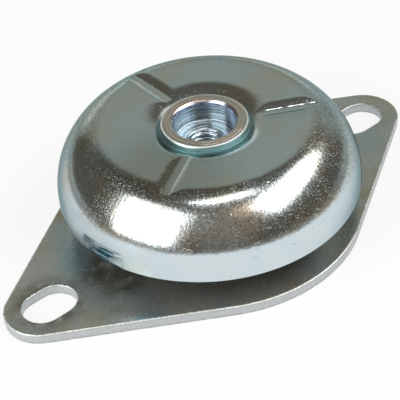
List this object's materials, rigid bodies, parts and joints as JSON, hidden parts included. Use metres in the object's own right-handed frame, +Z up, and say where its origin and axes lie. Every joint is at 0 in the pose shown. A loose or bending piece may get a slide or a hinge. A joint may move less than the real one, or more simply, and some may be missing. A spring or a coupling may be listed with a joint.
{
  "type": "anti-vibration bell mount",
  "caption": "Bell-shaped anti-vibration mount: pressed steel bell over a rubber spring on a slotted diamond foot plate, with a threaded centre bush.",
  "frame": {"origin": "centre of the foot plate's underside, below the axis of the threaded bush", "axes": "+X along the line through the two slots, +Z up the bush's axis out of its thread"},
  "size_m": [0.1758, 0.1068, 0.042],
  "materials": {
    "bell_zinc": "bright zinc plate over pressed steel, scuffed",
    "bush_zinc": "bright zinc plate over turned steel",
    "plate_zinc": "bright zinc plate over blanked steel, scuffed",
    "washer_zinc": "bright zinc plate over stamped steel",
    "rubber": "moulded natural rubber, matt black"
  },
  "bodies": {
    "base": {"base_plate": "plate_zinc", "rubber_element": "rubber"},
    "top": {"bell_cap": "bell_zinc", "threaded_bush": "bush_zinc", "rebound_washer": "washer_zinc"}
  },
  "joints": [
    {"name": "rubber_deflection", "type": "slide", "parent": "base", "child": "top", "axis": [0, 0, 1], "range_m": [-0.008, 0.002], "stiffness_N_per_m": 250000, "deforming": ["rubber_element"]}
  ]
}
